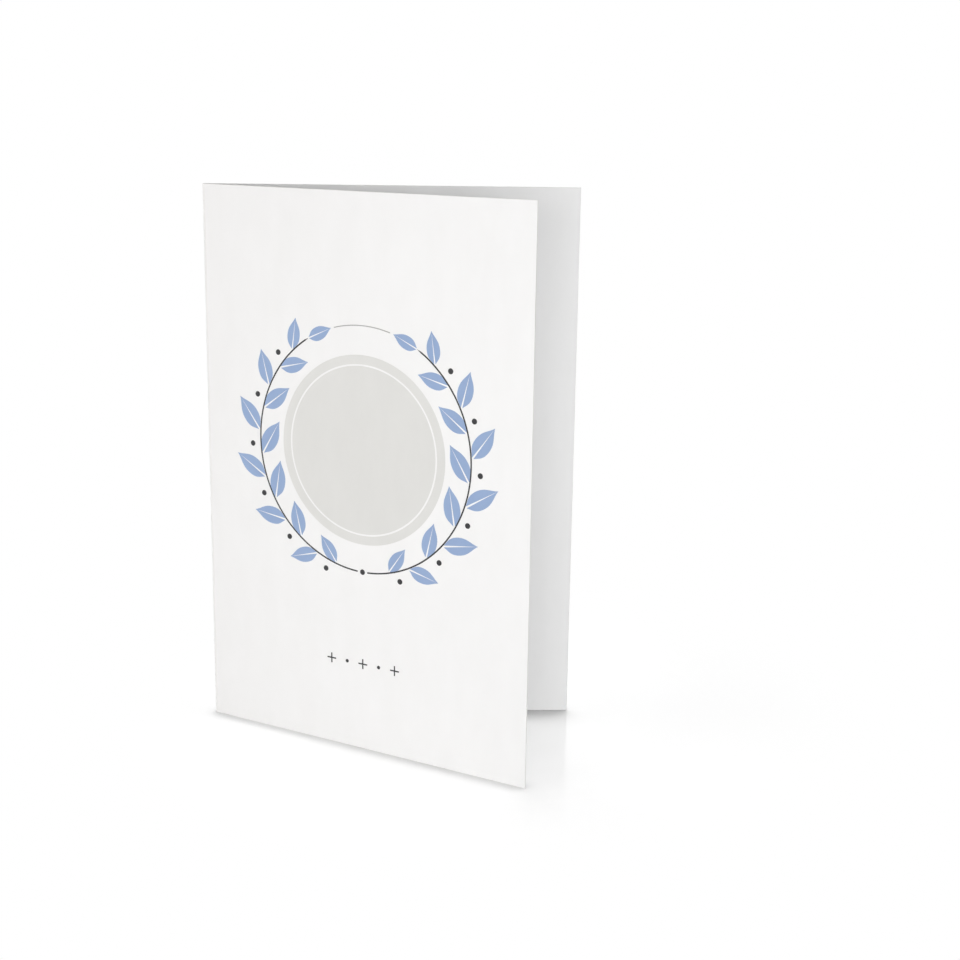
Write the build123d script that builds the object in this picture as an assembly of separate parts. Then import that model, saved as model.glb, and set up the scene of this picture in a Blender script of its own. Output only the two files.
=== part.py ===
from build123d import *
import os
from math import acos, cos, degrees, radians, sin

# A greeting card: one sheet of white board, creased down its middle, folded once and
# standing ajar on its lower cut edges. The fold is towards -X, the cover faces -Y, and
# the origin is under the middle of the card, on the surface that it stands on.

# Driving dimensions, in millimetres and degrees
LEAF_WIDTH = 100.0  # card as it is when closed, from the back of the fold to the free edge
LEAF_HEIGHT = 148.0  # length of the fold and of both free edges
BOARD_THICKNESS = 0.4  # white board of about 300 g/m2
OPENING_ANGLE = 32.2  # between the two leaves
FOLD_INSIDE_RADIUS = 0.2  # how tightly the inner faces turn at the crease
BEAD_RISE = 0.15  # height of the rounded bead that the creasing rule pushes up inside
CREASE_DEPTH = 0.06  # depth of the groove that the rule leaves outside
CREASE_WIDTH = 0.9  # width of that groove across the flat sheet

# Radii about the axis of the fold
outside_radius = FOLD_INSIDE_RADIUS + BOARD_THICKNESS
crown_radius = outside_radius - CREASE_DEPTH
bead_radius = FOLD_INSIDE_RADIUS + BEAD_RISE

# Each leaf leans away from the middle of the card by half the opening
half_angle = OPENING_ANGLE / 2
leaf_run = LEAF_WIDTH - crown_radius
along_leaf = Vector(cos(radians(half_angle)), sin(radians(half_angle)))
out_of_leaf = Vector(-along_leaf.Y, along_leaf.X)
bead_half_arc = 90 + half_angle - degrees(acos(FOLD_INSIDE_RADIUS / bead_radius))


def half_section():
    """Outline of the back leaf and its half of the fold, from the crown round to the bead."""
    crown = CenterArc((0, 0), crown_radius, 180, half_angle - 90)
    groove_top = out_of_leaf * outside_radius + along_leaf * (CREASE_WIDTH / 2)
    groove_wall = Line(crown @ 1, groove_top)
    outer_face = Line(groove_top, out_of_leaf * outside_radius + along_leaf * leaf_run)
    cut_edge = Line(outer_face @ 1, out_of_leaf * FOLD_INSIDE_RADIUS + along_leaf * leaf_run)
    bead = CenterArc((0, 0), bead_radius, bead_half_arc, -bead_half_arc)
    inner_face = Line(cut_edge @ 1, bead @ 0)
    return Curve() + [crown, groove_wall, outer_face, cut_edge, inner_face, bead]


def folded_card():
    """The whole sheet: both halves of its section, drawn up to the height of the card."""
    back_half = half_section()
    section = make_face(back_half + mirror(back_half, about=Plane.XZ))
    sheet = extrude(section, LEAF_HEIGHT, dir=(0, 0, 1))
    box = sheet.bounding_box()
    return Pos(-box.center().X, 0, -box.min.Z) * sheet


os.makedirs("parts", exist_ok=True)
export_step(folded_card(), "parts/folded_card.step")
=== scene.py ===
# A greeting card folded from one sheet of white board, standing ajar on its cut edges.
from math import cos, pi, radians, sin

import bmesh
import bpy
from mathutils import Matrix, Vector


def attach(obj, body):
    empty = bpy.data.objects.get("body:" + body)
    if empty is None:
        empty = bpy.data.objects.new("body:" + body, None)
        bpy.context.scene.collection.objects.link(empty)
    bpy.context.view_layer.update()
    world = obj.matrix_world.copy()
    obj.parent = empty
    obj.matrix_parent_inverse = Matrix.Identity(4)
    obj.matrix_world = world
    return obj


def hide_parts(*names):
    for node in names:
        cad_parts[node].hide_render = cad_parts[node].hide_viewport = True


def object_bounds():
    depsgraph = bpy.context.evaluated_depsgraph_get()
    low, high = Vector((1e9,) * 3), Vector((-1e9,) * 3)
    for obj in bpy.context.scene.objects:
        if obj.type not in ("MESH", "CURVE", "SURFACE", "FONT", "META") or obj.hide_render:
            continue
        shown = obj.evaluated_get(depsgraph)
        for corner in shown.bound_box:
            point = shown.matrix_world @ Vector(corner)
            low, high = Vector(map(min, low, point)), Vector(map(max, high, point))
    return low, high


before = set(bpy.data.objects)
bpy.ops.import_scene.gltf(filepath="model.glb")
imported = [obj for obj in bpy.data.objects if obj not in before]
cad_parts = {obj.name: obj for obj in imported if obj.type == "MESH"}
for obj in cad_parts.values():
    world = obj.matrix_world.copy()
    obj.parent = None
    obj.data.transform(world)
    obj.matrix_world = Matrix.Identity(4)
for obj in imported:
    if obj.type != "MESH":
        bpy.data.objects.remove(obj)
cad_low, cad_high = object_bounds()

# The sheet: smooth uncoated white board of about 300 g/m2, one piece from free edge to free
# edge. A guillotine cuts it square and rounds its edges a little, then a blunt rule creases
# it down the middle, where it is folded by hand. The grain of the board runs up the card.
MM = 0.001
MERGE_DISTANCE = 0.001 * MM
FLAT_WITHIN = radians(0.5)
CUT_CORNER = radians(80)
CUT_ROUNDING = 0.1 * MM
ROUNDING_STEPS = 2
SMOOTH_BELOW = radians(35)
END_FACING = 0.3
CUT_REACH = 0.5 * MM
FOLD_REACH = 1.2 * MM
GRAIN_STRETCH = 0.4
CRACK_STRETCH = 0.05
CLOUDS_PER_METRE = 180.0
CLOUD_DETAIL = 3.0
CLOUD_TWIST = 0.0
TEETH_PER_METRE = 2400.0
TOOTH_DETAIL = 4.0
TOOTH_TWIST = 0.6
COLOUR_RANGE = (0.3, 0.7)
GLOSS_RANGE = (0.25, 0.75)
PAPER_SPECULAR = 0.35
BOARD_WHITE = (0.900, 0.900, 0.900, 1.0)
BOARD_CLOUD = (0.884, 0.884, 0.882, 1.0)
BOARD_ROUGHNESS = (0.72, 0.86)
BOARD_TOOTH = 0.02 * MM
CUT_WHITE = (0.86, 0.855, 0.84, 1.0)
CUT_CLOUD = (0.76, 0.755, 0.74, 1.0)
CUT_ROUGHNESS = (0.85, 0.95)
CUT_TOOTH = 0.03 * MM
FOLD_WHITE = (0.905, 0.905, 0.9, 1.0)
FOLD_CRACK = (0.83, 0.83, 0.82, 1.0)
FOLD_ROUGHNESS = (0.75, 0.92)
FOLD_TOOTH = 0.03 * MM


def deselect_all():
    """Deselects all objects."""
    bpy.ops.object.select_all(action="DESELECT")


def edit(piece):
    """Opens one piece in edit mode, with nothing else selected."""
    deselect_all()
    piece.select_set(True)
    bpy.context.view_layer.objects.active = piece
    bpy.ops.object.mode_set(mode="EDIT")


def close_edit():
    """Goes back to object mode."""
    bpy.ops.object.mode_set(mode="OBJECT")


def select_edges(piece, chosen):
    """Selects the edges of the open piece for which chosen is true."""
    bpy.ops.mesh.select_mode(type="EDGE")
    bpy.ops.mesh.select_all(action="DESELECT")
    mesh = bmesh.from_edit_mesh(piece.data)
    for edge in mesh.edges:
        edge.select = chosen(edge)
    mesh.select_flush(False)
    bmesh.update_edit_mesh(piece.data)


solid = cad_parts["folded_card"]
card = bpy.data.objects.new("card_sheet", solid.data.copy())
card.data.name = "card_sheet"
bpy.context.scene.collection.objects.link(card)
edit(card)
bpy.ops.mesh.customdata_custom_splitnormals_clear()
bpy.ops.mesh.select_all(action="SELECT")
bpy.ops.mesh.remove_doubles(threshold=MERGE_DISTANCE)
bpy.ops.mesh.dissolve_limited(angle_limit=FLAT_WITHIN)
select_edges(card, lambda edge: edge.calc_face_angle(0.0) > CUT_CORNER)
bpy.ops.mesh.bevel(offset=CUT_ROUNDING, segments=ROUNDING_STEPS)
close_edit()
bpy.ops.object.shade_smooth_by_angle(angle=SMOOTH_BELOW)


def fibre_group():
    """Shader group of the board's own texture: soft clouds in the sheet and a fine tooth."""
    group = bpy.data.node_groups.new("board_fibre", "ShaderNodeTree")
    group.interface.new_socket("Vector", in_out="INPUT", socket_type="NodeSocketVector")
    for name in ("Stretch", "Clouds", "Teeth"):
        group.interface.new_socket(name, in_out="INPUT", socket_type="NodeSocketFloat")
    for name in ("Cloud", "Tooth"):
        group.interface.new_socket(name, in_out="OUTPUT", socket_type="NodeSocketFloat")
    nodes, links = group.nodes, group.links
    inside = nodes.new("NodeGroupInput")
    outside = nodes.new("NodeGroupOutput")
    along_grain = nodes.new("ShaderNodeCombineXYZ")
    along_grain.inputs["X"].default_value = 1.0
    along_grain.inputs["Y"].default_value = 1.0
    links.new(inside.outputs["Stretch"], along_grain.inputs["Z"])
    stretched = nodes.new("ShaderNodeVectorMath")
    stretched.operation = "MULTIPLY"
    links.new(inside.outputs["Vector"], stretched.inputs[0])
    links.new(along_grain.outputs["Vector"], stretched.inputs[1])
    textures = (
        ("Clouds", "Cloud", CLOUD_DETAIL, CLOUD_TWIST),
        ("Teeth", "Tooth", TOOTH_DETAIL, TOOTH_TWIST),
    )
    for scale, result, detail, twist in textures:
        noise = nodes.new("ShaderNodeTexNoise")
        noise.inputs["Detail"].default_value = detail
        noise.inputs["Distortion"].default_value = twist
        links.new(stretched.outputs["Vector"], noise.inputs["Vector"])
        links.new(inside.outputs[scale], noise.inputs["Scale"])
        links.new(noise.outputs["Fac"], outside.inputs[result])
    return group


board_fibre = fibre_group()


def mapped(nodes, links, value, reach, result, curve="LINEAR"):
    """Goes from the first result to the second while the value runs over its reach."""
    node = nodes.new("ShaderNodeMapRange")
    node.interpolation_type = curve
    node.inputs["From Min"].default_value, node.inputs["From Max"].default_value = reach
    node.inputs["To Min"].default_value, node.inputs["To Max"].default_value = result
    links.new(value, node.inputs["Value"])
    return node.outputs["Result"]


def paper_material(name, light, dark, roughness, tooth, stretch=GRAIN_STRETCH, colour_by="Cloud"):
    """A matte surface whose colour, roughness and relief follow the fibres of the board."""
    material = bpy.data.materials.new(name)
    material.use_nodes = True
    nodes, links = material.node_tree.nodes, material.node_tree.links
    shader = nodes["Principled BSDF"]
    shader.inputs["Specular IOR Level"].default_value = PAPER_SPECULAR
    place = nodes.new("ShaderNodeTexCoord")
    fibre = nodes.new("ShaderNodeGroup")
    fibre.node_tree = board_fibre
    fibre.inputs["Stretch"].default_value = stretch
    fibre.inputs["Clouds"].default_value = CLOUDS_PER_METRE
    fibre.inputs["Teeth"].default_value = TEETH_PER_METRE
    links.new(place.outputs["Object"], fibre.inputs["Vector"])
    colour = nodes.new("ShaderNodeValToRGB")
    dark_stop, light_stop = colour.color_ramp.elements
    dark_stop.position, light_stop.position = COLOUR_RANGE
    dark_stop.color = dark
    light_stop.color = light
    links.new(fibre.outputs[colour_by], colour.inputs["Fac"])
    links.new(colour.outputs["Color"], shader.inputs["Base Color"])
    gloss = mapped(nodes, links, fibre.outputs["Tooth"], GLOSS_RANGE, roughness)
    links.new(gloss, shader.inputs["Roughness"])
    relief = nodes.new("ShaderNodeBump")
    relief.inputs["Distance"].default_value = tooth
    links.new(fibre.outputs["Tooth"], relief.inputs["Height"])
    links.new(relief.outputs["Normal"], shader.inputs["Normal"])
    return material


white_board = paper_material("white_board", BOARD_WHITE, BOARD_CLOUD, BOARD_ROUGHNESS, BOARD_TOOTH)
cut_edge = paper_material("cut_edge", CUT_WHITE, CUT_CLOUD, CUT_ROUGHNESS, CUT_TOOTH)
creased_fold = paper_material(
    "creased_fold", FOLD_WHITE, FOLD_CRACK, FOLD_ROUGHNESS, FOLD_TOOTH, CRACK_STRETCH, "Tooth"
)
finishes = (white_board, cut_edge, creased_fold)
card.data.materials.clear()
for material in finishes:
    card.data.materials.append(material)
for face in card.data.polygons:
    is_end = abs(face.normal.z) > END_FACING
    is_free_edge = face.center.x > cad_high.x - CUT_REACH
    is_fold = face.center.x < cad_low.x + FOLD_REACH
    if is_end or is_free_edge:
        finish = cut_edge
    elif is_fold:
        finish = creased_fold
    else:
        finish = white_board
    face.material_index = finishes.index(finish)

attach(card, "root")
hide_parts("folded_card")

# The pale field: a round tint of grey, printed flat on the cover as the ground of a wreath, a
# little above the middle. A fine ring is left out of it, where the bare board shows.
COVER_FACING = 0.9
SAME_FACING = 0.9999
WREATH_LIFT = 8.0 * MM
FIELD_RADIUS = 25.0 * MM
FIELD_BAND = 2.4 * MM
FIELD_GAP = 0.45 * MM
FIELD_RISE = 0.015 * MM
FIELD_POINTS = 160
FIELD_GREY = (0.740, 0.740, 0.722, 1.0)
FIELD_CLOUD = (0.720, 0.720, 0.702, 1.0)
INK_ROOT = 0.005 * MM
INK_ROUGHNESS = (0.58, 0.74)
INK_TOOTH = 0.012 * MM

# The cover is the outer face of the front leaf: it looks to -Y and, as the card is ajar, to -X.
front_faces = [
    face for face in solid.data.polygons
    if face.normal.y < -COVER_FACING and face.normal.x < 0
]
cover_face = max(front_faces, key=lambda face: face.area)
out_of_cover = cover_face.normal.normalized()
up_cover = Vector((0.0, 0.0, 1.0))
across_cover = up_cover.cross(out_of_cover)
cover_corners = [
    solid.data.vertices[index].co
    for face in solid.data.polygons if face.normal.dot(out_of_cover) > SAME_FACING
    for index in face.vertices
]
cover_depth = cover_corners[0].dot(out_of_cover)
cover_spread = [corner.dot(across_cover) for corner in cover_corners]
wreath_middle = (
    across_cover * (min(cover_spread) + max(cover_spread)) / 2
    + up_cover * ((cad_low.z + cad_high.z) / 2 + WREATH_LIFT)
    + out_of_cover * cover_depth
)
cover_turn = Matrix((across_cover, up_cover, out_of_cover)).transposed().to_4x4()
wreath_place = Matrix.Translation(wreath_middle) @ cover_turn


def flat_disc(radius, points):
    """A flat round shape about the middle of the wreath, open in edit mode."""
    deselect_all()
    bpy.ops.mesh.primitive_circle_add(vertices=points, radius=radius, fill_type="NGON")
    disc = bpy.context.object
    edit(disc)
    bpy.ops.mesh.select_mode(type="FACE")
    bpy.ops.mesh.select_all(action="SELECT")
    return disc


def delete_faces(piece, chosen):
    """Deletes the faces of the open piece for whose middle chosen is true."""
    bpy.ops.mesh.select_mode(type="FACE")
    bpy.ops.mesh.select_all(action="DESELECT")
    mesh = bmesh.from_edit_mesh(piece.data)
    for face in mesh.faces:
        face.select = chosen(face.calc_center_median())
    bmesh.update_edit_mesh(piece.data)
    bpy.ops.mesh.delete(type="FACE")


def print_on_cover(shapes, name, rise):
    """Joins flat shapes, gives them the thickness of an ink film and lays them on the cover."""
    deselect_all()
    for shape in shapes:
        shape.select_set(True)
    bpy.context.view_layer.objects.active = shapes[0]
    if len(shapes) > 1:
        bpy.ops.object.join()
    bpy.ops.object.transform_apply(location=True, rotation=True, scale=True)
    film = bpy.context.object
    film.name = name
    film.data.name = name
    edit(film)
    bpy.ops.mesh.select_all(action="SELECT")
    bpy.ops.mesh.extrude_region_move(TRANSFORM_OT_translate={"value": (0, 0, rise + INK_ROOT)})
    bpy.ops.mesh.select_all(action="SELECT")
    bpy.ops.mesh.normals_make_consistent(inside=False)
    close_edit()
    film.matrix_world = wreath_place @ Matrix.Translation((0, 0, -INK_ROOT))
    bpy.ops.object.transform_apply(location=True, rotation=True, scale=True)
    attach(film, "root")
    return film


def ink_material(name, light, dark):
    """A thin ink, smoother than the board, which lets a little of its tooth through."""
    return paper_material(name, light, dark, INK_ROUGHNESS, INK_TOOTH)


ring_outside = FIELD_RADIUS - FIELD_BAND
ring_inside = ring_outside - FIELD_GAP
field = flat_disc(FIELD_RADIUS, FIELD_POINTS)
bpy.ops.mesh.inset(thickness=FIELD_BAND)
bpy.ops.mesh.inset(thickness=FIELD_GAP)
delete_faces(field, lambda middle: ring_inside < middle.length < ring_outside)
close_edit()
field = print_on_cover([field], "print_field", FIELD_RISE)
field.data.materials.append(ink_material("grey_ink", FIELD_GREY, FIELD_CLOUD))

# The keyline: a hairline arc in a warm grey, which closes the wreath at the top, between the
# tips of its two sprigs.
WREATH_RADIUS = 32.5 * MM
KEYLINE_WIDTH = 0.25 * MM
KEYLINE_REACH = radians(15)
KEYLINE_STEPS = 16
KEYLINE_RISE = 0.02 * MM
KEYLINE_GREY = (0.40, 0.395, 0.385, 1.0)
KEYLINE_CLOUD = (0.36, 0.355, 0.345, 1.0)


def flat_ribbon(start, sweep, width, steps):
    """A band along the round of the wreath, open in edit mode with its far end selected."""
    foot = Vector((cos(start), sin(start), 0)) * WREATH_RADIUS
    onward = Vector((-sin(start), cos(start), 0)) * sweep
    deselect_all()
    bpy.ops.mesh.primitive_plane_add(size=width, location=foot, rotation=(0, 0, start))
    ribbon = bpy.context.object
    bpy.ops.object.transform_apply(location=True, rotation=True, scale=True)
    edit(ribbon)
    select_edges(ribbon, lambda edge: all(vertex.co.dot(onward) > 0 for vertex in edge.verts))
    bpy.ops.mesh.spin(steps=steps, angle=-sweep, center=(0, 0, 0), axis=(0, 0, 1))
    return ribbon


keyline = flat_ribbon(pi / 2 - KEYLINE_REACH, 2 * KEYLINE_REACH, KEYLINE_WIDTH, KEYLINE_STEPS)
close_edit()
keyline = print_on_cover([keyline], "print_keyline", KEYLINE_RISE)
keyline.data.materials.append(ink_material("keyline_ink", KEYLINE_GREY, KEYLINE_CLOUD))

# The stems: two sprigs that leave the foot of the wreath and climb its sides, printed in the
# dark ink of the small marks. Each is a narrow ribbon that ends in a point.
STEM_WIDTH = 0.4 * MM
STEM_RISE = 0.035 * MM
STEM_STEPS = 60
STEM_FOOT = radians(3)
STEM_SWEEP = radians(146)
SPRIG_SIDES = (-1, 1)
DARK_INK = (0.050, 0.050, 0.052, 1.0)
DARK_CLOUD = (0.042, 0.042, 0.044, 1.0)


def bearing_on(side, share):
    """The angle at a share of the way up the sprig on one side of the wreath."""
    return -pi / 2 + side * (STEM_FOOT + STEM_SWEEP * share)


def flat_stem(side):
    """A ribbon from the foot of the wreath up one side of it, drawn to a point."""
    stem = flat_ribbon(bearing_on(side, 0.0), side * STEM_SWEEP, STEM_WIDTH, STEM_STEPS)
    bpy.ops.mesh.merge(type="CENTER")
    close_edit()
    return stem


stems = print_on_cover([flat_stem(side) for side in SPRIG_SIDES], "print_stems", STEM_RISE)
dark_ink = ink_material("dark_ink", DARK_INK, DARK_CLOUD)
stems.data.materials.append(dark_ink)

# The leaves of the wreath: pointed ovals in a soft blue, to the inner and the outer side of
# each stem in turn, and one at its tip. A fine midrib is left out of each as bare board.
LEAF_LENGTH = 11.0 * MM
LEAF_WIDTH = 4.9 * MM
LEAF_BELLY = 0.16
LEAF_SMOOTHNESS = 10
LEAF_SPREAD = radians(40)
LEAF_STALK = 0.25 * MM
LEAF_SMALLEST = 0.72
LEAF_RISE = 0.03 * MM
LEAVES_ON_SPRIG = 12
INWARDS = 1
OUTWARDS = -1
TIP_LEAN = 0.17
MIDRIB_WIDTH = 0.42 * MM
MIDRIB_REACH = 0.8
MIDRIB_SIDES = (1, -1)
LEAF_BLUE = (0.318, 0.425, 0.640, 1.0)
LEAF_CLOUD = (0.296, 0.402, 0.618, 1.0)


def flat_leaf():
    """One leaf along +X with its foot at the origin, cut along its midrib."""
    deselect_all()
    bpy.ops.curve.primitive_bezier_circle_add(radius=1.0)
    leaf = bpy.context.object
    leaf.data.dimensions = "2D"
    leaf.data.fill_mode = "BOTH"
    leaf.data.resolution_u = LEAF_SMOOTHNESS
    for point in leaf.data.splines[0].bezier_points:
        is_tip = abs(point.co.x) > abs(point.co.y)
        if is_tip:
            point.handle_left_type = "VECTOR"
            point.handle_right_type = "VECTOR"
        else:
            for handle in (point.handle_left, point.co, point.handle_right):
                handle.x -= LEAF_BELLY
    bpy.ops.object.convert(target="MESH")
    leaf = bpy.context.object
    leaf.scale = (LEAF_LENGTH / 2, LEAF_WIDTH / 2, 1)
    leaf.location.x = LEAF_LENGTH / 2
    bpy.ops.object.transform_apply(location=True, rotation=True, scale=True)
    midrib_end = LEAF_LENGTH * MIDRIB_REACH
    taper = MIDRIB_WIDTH / 2 / midrib_end
    edit(leaf)
    bpy.ops.mesh.select_all(action="SELECT")
    bpy.ops.mesh.remove_doubles(threshold=MERGE_DISTANCE)
    for side in MIDRIB_SIDES:
        bpy.ops.mesh.select_all(action="SELECT")
        bpy.ops.mesh.bisect(plane_co=(midrib_end, 0, 0), plane_no=(taper, side, 0))
    delete_faces(leaf, lambda middle: abs(middle.y) < (midrib_end - middle.x) * taper)
    close_edit()
    return leaf


def copy_at(pattern, place):
    """A copy of a flat shape, with a mesh of its own, put in its place on the wreath."""
    shape = pattern.copy()
    shape.data = pattern.data.copy()
    shape.matrix_world = place
    bpy.context.scene.collection.objects.link(shape)
    return shape


def leaf_place(side, share, lean):
    """Where a leaf grows on a sprig: lean says how far it turns inwards or outwards."""
    bearing = bearing_on(side, share)
    turn = side * (pi / 2 + lean * LEAF_SPREAD)
    size = LEAF_SMALLEST + (1.0 - LEAF_SMALLEST) * sin(pi * share)
    place = Matrix.Rotation(bearing, 4, "Z") @ Matrix.Translation((WREATH_RADIUS, 0, 0))
    place = place @ Matrix.Rotation(turn, 4, "Z")
    place = place @ Matrix.Translation((abs(lean) * LEAF_STALK, 0, 0))
    return place @ Matrix.Scale(size, 4)


leaf_pattern = flat_leaf()
leaves = []
for side in SPRIG_SIDES:
    for step in range(1, LEAVES_ON_SPRIG + 1):
        lean = INWARDS if step % 2 else OUTWARDS
        leaves.append(copy_at(leaf_pattern, leaf_place(side, step / (LEAVES_ON_SPRIG + 1), lean)))
    leaves.append(copy_at(leaf_pattern, leaf_place(side, 1.0, TIP_LEAN)))
bpy.data.objects.remove(leaf_pattern)
leaves = print_on_cover(leaves, "print_leaves", LEAF_RISE)
leaves.data.materials.append(ink_material("blue_ink", LEAF_BLUE, LEAF_CLOUD))

# The dots, in dark ink: berries on the outer side of the wreath, each in the gap between two
# leaves, one at the foot where the stems part, and smaller spots in a row below it.
BERRY_RADIUS = 0.75 * MM
BERRY_REACH = 2.7 * MM
BERRY_STEP = 0.45
LEAVES_PER_BERRY = 2
DOT_RADIUS = 0.5 * MM
DOT_POINTS = 24
DOT_RISE = 0.02 * MM
ROW_DROP = 58.0 * MM
ROW_PITCH = 5.0 * MM
ROW_DOTS = (-1, 1)
berry_pattern = flat_disc(BERRY_RADIUS, DOT_POINTS)
close_edit()
dots = [copy_at(berry_pattern, Matrix.Translation((0, -WREATH_RADIUS, 0)))]
for side in SPRIG_SIDES:
    for step in range(1, LEAVES_ON_SPRIG + 1, LEAVES_PER_BERRY):
        bearing = bearing_on(side, (step + BERRY_STEP) / (LEAVES_ON_SPRIG + 1))
        berry = Vector((cos(bearing), sin(bearing), 0)) * (WREATH_RADIUS + BERRY_REACH)
        dots.append(copy_at(berry_pattern, Matrix.Translation(berry)))
dot_pattern = flat_disc(DOT_RADIUS, DOT_POINTS)
close_edit()
for place in ROW_DOTS:
    dots.append(copy_at(dot_pattern, Matrix.Translation((place * ROW_PITCH, -ROW_DROP, 0))))
bpy.data.objects.remove(berry_pattern)
bpy.data.objects.remove(dot_pattern)
dots = print_on_cover(dots, "print_dots", DOT_RISE)
dots.data.materials.append(dark_ink)

# The crosses: three small marks of two strokes each, in a row with the spots at the foot of
# the cover, in the same dark ink.
CROSS_STROKE = 0.38 * MM
CROSS_ARM = 1.2 * MM
CROSS_ARMS = 4
CROSS_RISE = 0.02 * MM
ROW_CROSSES = (-2, 0, 2)
SAME_PLACE = 0.01 * MM


def middle_of(edge):
    """The point half way along an edge."""
    return (edge.verts[0].co + edge.verts[1].co) / 2


def flat_cross(place):
    """A square with an arm drawn out of each of its sides, at a place in the row."""
    deselect_all()
    bpy.ops.mesh.primitive_plane_add(size=CROSS_STROKE)
    cross = bpy.context.object
    edit(cross)
    for arm in range(CROSS_ARMS):
        bearing = 2 * pi * arm / CROSS_ARMS
        way = Vector((cos(bearing), sin(bearing), 0))
        side = way * CROSS_STROKE / 2
        select_edges(cross, lambda edge: (middle_of(edge) - side).length < SAME_PLACE)
        bpy.ops.mesh.extrude_region_move(TRANSFORM_OT_translate={"value": way * CROSS_ARM})
    close_edit()
    cross.location = (place * ROW_PITCH, -ROW_DROP, 0)
    return cross


crosses = print_on_cover([flat_cross(place) for place in ROW_CROSSES], "print_crosses", CROSS_RISE)
crosses.data.materials.append(dark_ink)

# The floor: a wide sheet of white gloss acrylic. To the camera it is plain white, with the card's
# reflection, which fades away from the mouth of the card, and a painted shadow where the two meet:
# shade from ambient occlusion, painted into the floor's glow. The painted shadow is wider and
# deeper between the leaves, apart from the lit end of the front leaf.
FLOOR_SIZE = 6.0
FLOOR_ALBEDO = (0.9, 0.9, 0.9, 1.0)
FLOOR_ROUGHNESS = 0.1
FLOOR_GLOW = 0.715
FLOOR_MATTE = (0.45, 0.45, 0.45, 1.0)
CARD_MOUTH = Vector((30.0, 24.0, 0.0)) * MM
MIRROR_REACH = (16.0 * MM, 86.0 * MM)
MIRROR_SHARE = (0.56, 0.0)
WHITE_REACH = (50.0 * MM, 110.0 * MM)
CONTACT_REACH = (14.0 * MM, 5.5 * MM)
CONTACT_SHADE = (0.36, 0.55)
NO_SHADE = 1.0
OPENNESS = (0.5, 1.0)
LIT_REACH = (8.0 * MM, 46.0 * MM)
RISING = (0.0, 1.0)
FALLING = (1.0, 0.0)
BOARD_THICKNESS = 0.4 * MM
deselect_all()
bpy.ops.mesh.primitive_plane_add(size=FLOOR_SIZE)
floor = bpy.context.object
floor.name = "floor"

# The two leaves are mirror images, with their outer faces equally far out from the middle.
out_of_back = Vector((out_of_cover.x, -out_of_cover.y, 0.0))
leaf_depth = (cover_depth - BOARD_THICKNESS, cover_depth)
front_end = Vector((cad_high.x, cad_low.y, 0.0))


def largest(nodes, links, values):
    """The largest of several values."""
    result = values[0]
    for value in values[1:]:
        larger = nodes.new("ShaderNodeMath")
        larger.operation = "MAXIMUM"
        links.new(result, larger.inputs[0])
        links.new(value, larger.inputs[1])
        result = larger.outputs["Value"]
    return result


def seen_rays(nodes, links):
    """1 for the rays that look at the surroundings: the camera's, mirrored and refracted ones."""
    ray = nodes.new("ShaderNodeLightPath")
    kinds = ("Is Camera Ray", "Is Glossy Ray", "Is Transmission Ray")
    return largest(nodes, links, [ray.outputs[kind] for kind in kinds])


def mixed(nodes, links, share, first, second):
    """A mix of two shaders by the share of the second."""
    mix = nodes.new("ShaderNodeMixShader")
    links.new(share, mix.inputs["Fac"])
    links.new(first, mix.inputs[1])
    links.new(second, mix.inputs[2])
    return mix.outputs["Shader"]


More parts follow.
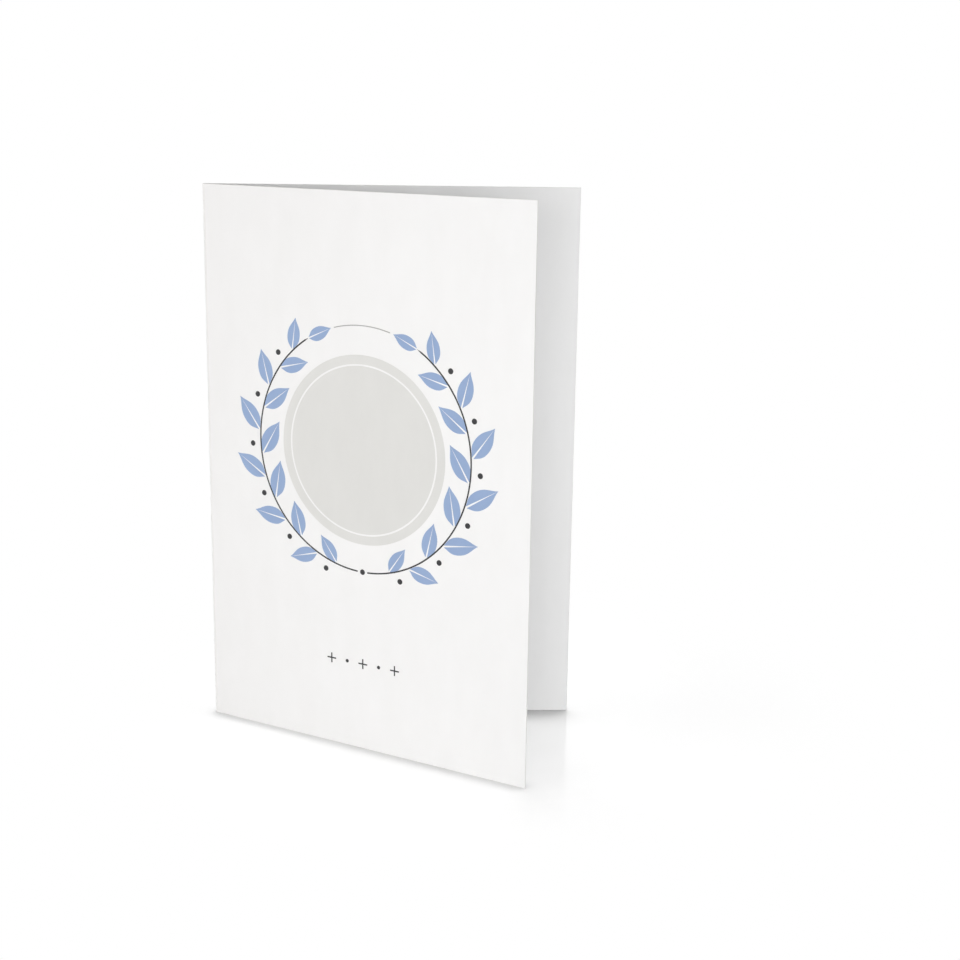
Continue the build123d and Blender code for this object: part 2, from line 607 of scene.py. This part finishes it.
def floor_material():
    """White acrylic: it glows white where it is looked at, with a painted shadow near the card, and is
    plain to the light itself.
    """
    material = bpy.data.materials.new("white_acrylic")
    material.use_nodes = True
    nodes, links = material.node_tree.nodes, material.node_tree.links
    plain = nodes["Principled BSDF"]
    plain.inputs["Base Color"].default_value = FLOOR_ALBEDO
    plain.inputs["Roughness"].default_value = FLOOR_ROUGHNESS
    place = nodes.new("ShaderNodeTexCoord")

    def measured(operation, other):
        """How far a place on the floor is from a point, or out along a direction."""
        node = nodes.new("ShaderNodeVectorMath")
        node.operation = operation
        node.inputs[1].default_value = other
        links.new(place.outputs["Object"], node.inputs[0])
        return node.outputs["Value"]

    def softly(value, reach, result):
        """The mapped value with soft ends."""
        return mapped(nodes, links, value, reach, result, "SMOOTHSTEP")

    # Lit is 1 outside the leaves and at the front leaf's free end, and 0 between the leaves, where the
    # painted shade is deeper
    lit = largest(nodes, links, [
        softly(measured("DOT_PRODUCT", out_of_cover), leaf_depth, RISING),
        softly(measured("DOT_PRODUCT", out_of_back), leaf_depth, RISING),
        softly(measured("DISTANCE", front_end), LIT_REACH, FALLING),
    ])
    # The painted shadow: ambient occlusion near the card darkens the colour of the floor's glow, mirror
    # and white
    openness = nodes.new("ShaderNodeAmbientOcclusion")
    links.new(softly(lit, RISING, CONTACT_REACH), openness.inputs["Distance"])
    contact = nodes.new("ShaderNodeMix")
    links.new(softly(openness.outputs["AO"], OPENNESS, RISING), contact.inputs["Factor"])
    links.new(softly(lit, RISING, CONTACT_SHADE), contact.inputs["A"])
    contact.inputs["B"].default_value = NO_SHADE
    painted_shade = contact.outputs["Result"]

    # Near the card the floor glows and mirrors, and further off it is all white; all three carry the
    # painted shade
    glow = nodes.new("ShaderNodeEmission")
    glow.inputs["Strength"].default_value = FLOOR_GLOW
    links.new(painted_shade, glow.inputs["Color"])
    matte = nodes.new("ShaderNodeBsdfDiffuse")
    matte.inputs["Color"].default_value = FLOOR_MATTE
    glowing = nodes.new("ShaderNodeAddShader")
    links.new(glow.outputs["Emission"], glowing.inputs[0])
    links.new(matte.outputs["BSDF"], glowing.inputs[1])
    mirror = nodes.new("ShaderNodeBsdfGlossy")
    mirror.inputs["Roughness"].default_value = FLOOR_ROUGHNESS
    links.new(painted_shade, mirror.inputs["Color"])
    white = nodes.new("ShaderNodeEmission")
    links.new(painted_shade, white.inputs["Color"])
    away = measured("DISTANCE", CARD_MOUTH)
    mirror_share = softly(away, MIRROR_REACH, MIRROR_SHARE)
    white_share = softly(away, WHITE_REACH, RISING)
    near = mixed(nodes, links, mirror_share, glowing.outputs["Shader"], mirror.outputs["BSDF"])
    seen = mixed(nodes, links, white_share, near, white.outputs["Emission"])
    surface = mixed(nodes, links, seen_rays(nodes, links), plain.outputs["BSDF"], seen)
    links.new(surface, nodes["Material Output"].inputs["Surface"])
    return material


floor.data.materials.append(floor_material())

# The light: low soft boxes round the card, one above it, and a weak even light from everywhere.
# The white surroundings are what the camera and reflections see.
STUDIO_WHITE = (1.0, 1.0, 1.0, 1.0)
SKY_STRENGTH = 0.02
SURROUNDINGS = 1.0
LAMP_DISTANCE = 0.75
LAMP_SIZE = (0.40, 0.25)
WARM = (1.0, 0.975, 0.955)
PLAIN = (1.0, 1.0, 1.0)

# Each lamp has a name, its bearing and height in degrees, its watts and its colour.
LAMPS = (
    ("left_light", -45, 5, 2.35, WARM),
    ("front_light", 20, 5, 2.25, PLAIN),
    ("right_light", 60, 5, 1.00, PLAIN),
    ("mouth_light", 105, 10, 0.60, PLAIN),
    ("back_light", 195, 5, 4.00, PLAIN),
    ("top_light", 0, 90, 2.00, PLAIN),
)
world = bpy.data.worlds.new("studio")
bpy.context.scene.world = world
world.use_nodes = True
nodes, links = world.node_tree.nodes, world.node_tree.links
sky = nodes["Background"]
sky.inputs["Color"].default_value = STUDIO_WHITE
sky.inputs["Strength"].default_value = SKY_STRENGTH
surroundings = nodes.new("ShaderNodeBackground")
surroundings.inputs["Color"].default_value = STUDIO_WHITE
surroundings.inputs["Strength"].default_value = SURROUNDINGS
around = mixed(
    nodes, links, seen_rays(nodes, links), sky.outputs["Background"], surroundings.outputs["Background"]
)
links.new(around, nodes["World Output"].inputs["Surface"])
card_middle = Vector((0.0, 0.0, (cad_low.z + cad_high.z) / 2))
for name, bearing, height, watts, colour in LAMPS:
    lamp = bpy.data.objects.new(name, bpy.data.lights.new(name, "AREA"))
    lamp.data.shape = "RECTANGLE"
    lamp.data.size, lamp.data.size_y = LAMP_SIZE
    lamp.data.energy = watts
    lamp.data.color = colour
    lamp.rotation_euler = (radians(90 - height), 0.0, radians(bearing))
    lamp.location = card_middle + lamp.rotation_euler.to_matrix() @ Vector((0.0, 0.0, LAMP_DISTANCE))
    lamp.visible_camera = False
    lamp.visible_glossy = False
    bpy.context.scene.collection.objects.link(lamp)

# The camera: a little to the right of the card and above it, as in the photograph. Its place,
# tilt and lens are fitted to the corners and edges of the card there.
CAMERA_PLACE = (0.125065, -0.401302, 0.172241)
CAMERA_BEARING = radians(13.5696)
CAMERA_DIP = radians(13.5159)
CAMERA_ROLL = radians(0.8182)
CAMERA_LENS = 60.457
CAMERA_NEAR = 0.01
camera = bpy.data.objects.new("camera", bpy.data.cameras.new("camera"))
bpy.context.scene.collection.objects.link(camera)
camera.data.lens = CAMERA_LENS
camera.data.clip_start = CAMERA_NEAR
camera.location = CAMERA_PLACE
level = Vector((-sin(CAMERA_BEARING), cos(CAMERA_BEARING), 0.0))
looking = level * cos(CAMERA_DIP) - Vector((0.0, 0.0, sin(CAMERA_DIP)))
camera.rotation_mode = "QUATERNION"
camera.rotation_quaternion = (
    looking.to_track_quat("-Z", "Y") @ Matrix.Rotation(CAMERA_ROLL, 3, "Z").to_quaternion()
)
bpy.context.scene.camera = camera
bpy.context.scene.view_settings.view_transform = "Standard"
